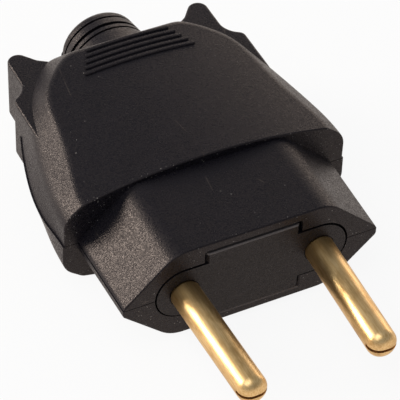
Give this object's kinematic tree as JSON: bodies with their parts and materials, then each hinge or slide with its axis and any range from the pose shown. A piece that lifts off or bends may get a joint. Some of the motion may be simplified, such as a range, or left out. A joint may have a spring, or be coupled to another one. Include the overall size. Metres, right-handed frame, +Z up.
{
  "type": "electrical plug",
  "caption": "Black rewireable two-pin mains plug with solid brass pins, waved finger grips and a ringed cord outlet.",
  "frame": {"origin": "middle of the engagement face, in the plane where the two housing halves meet", "axes": "+X to the right across the two pins, +Y back towards the cord outlet (the pins point to -Y), +Z up"},
  "size_m": [0.0412, 0.0673, 0.0172],
  "materials": {
    "black_plastic": "fine grained",
    "carrier_plastic": "fine grained",
    "pin_brass": "satin",
    "block_brass": "sawn and dull",
    "zinc_steel": "zinc plated"
  },
  "bodies": {
    "root": {"upper_shell": "black_plastic", "lower_shell": "black_plastic", "pin_carrier": "carrier_plastic", "cord_clamp": "carrier_plastic", "pin_left": "pin_brass", "pin_right": "pin_brass", "terminal_block_left": "block_brass", "terminal_block_right": "block_brass", "terminal_screw_left": "zinc_steel", "terminal_screw_right": "zinc_steel", "cord_clamp_screw_left": "zinc_steel", "cord_clamp_screw_right": "zinc_steel", "housing_screw_left": "zinc_steel", "housing_screw_right": "zinc_steel"}
  },
  "joints": []
}
